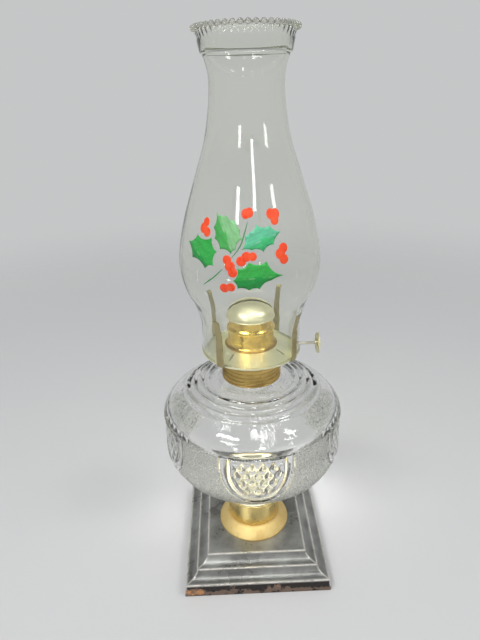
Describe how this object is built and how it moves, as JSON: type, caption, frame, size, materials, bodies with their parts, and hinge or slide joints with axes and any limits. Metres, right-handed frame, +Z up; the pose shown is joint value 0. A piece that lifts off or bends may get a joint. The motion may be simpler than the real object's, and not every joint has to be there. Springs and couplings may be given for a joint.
{
  "type": "oil lamp",
  "caption": "Table oil lamp: pressed glass font on a stepped square iron base, brass flat-wick burner with a thumbwheel, and a bulged clear glass chimney with a beaded rim.",
  "frame": {"origin": "middle of the base's footprint, on the floor", "axes": "+Z up along the lamp's axis, -Y the front, +X the thumbwheel's side"},
  "size_m": [0.145, 0.1444, 0.4215],
  "materials": {
    "japanned_iron": "worn black japan, rusty at the foot",
    "steel": "dull",
    "stem_brass": "polished",
    "collar_brass": "aged",
    "burner_brass": "satin",
    "wire": "drawn",
    "plaster": "matt",
    "font_glass": "clear, pressed",
    "chimney_glass": "clear, blown",
    "cotton": "woven"
  },
  "bodies": {
    "stand": {"base_casting": "japanned_iron", "base_bolt": "steel", "base_washer": "steel", "base_nut": "steel", "stem_flange": "stem_brass", "stem_ferrule": "stem_brass", "peg_plaster": "plaster", "collar_plaster": "plaster", "font": "font_glass", "collar": "collar_brass"},
    "burner": {"burner_thimble": "burner_brass", "air_basket": "burner_brass", "gallery_deck": "burner_brass", "prong_back_right": "burner_brass", "prong_back_left": "burner_brass", "prong_front_left": "burner_brass", "prong_front_right": "burner_brass", "prong_rivets": "burner_brass", "cone_body": "burner_brass", "dome": "burner_brass", "wick_tube": "burner_brass", "ratchet_housing": "burner_brass", "shaft_bushing": "burner_brass"},
    "wick_raiser": {"wick_shaft": "wire", "sprocket_wheels": "wire", "thumbwheel": "burner_brass"},
    "wick": {"wick": "cotton"},
    "chimney": {"chimney": "chimney_glass"}
  },
  "joints": [
    {"name": "burner_lift", "type": "slide", "parent": "stand", "child": "burner", "axis": [0, 0, 1], "range_m": [0, 0.1]},
    {"name": "wick_turn", "type": "hinge", "parent": "burner", "child": "wick_raiser", "pos_m": [0, 0.0065, 0.2], "axis": [-1, 0, 0], "range_deg": [-150, 120]},
    {"name": "wick_slide", "type": "slide", "parent": "burner", "child": "wick", "axis": [0, 0, 1], "range_m": [-0.0126, 0.0101]},
    {"name": "chimney_lift", "type": "slide", "parent": "burner", "child": "chimney", "axis": [0, 0, 1], "range_m": [0, 0.06]}
  ],
  "couplings": [
    {"joint": "wick_slide", "follows": "wick_turn", "m_per_rad": 0.0048}
  ]
}
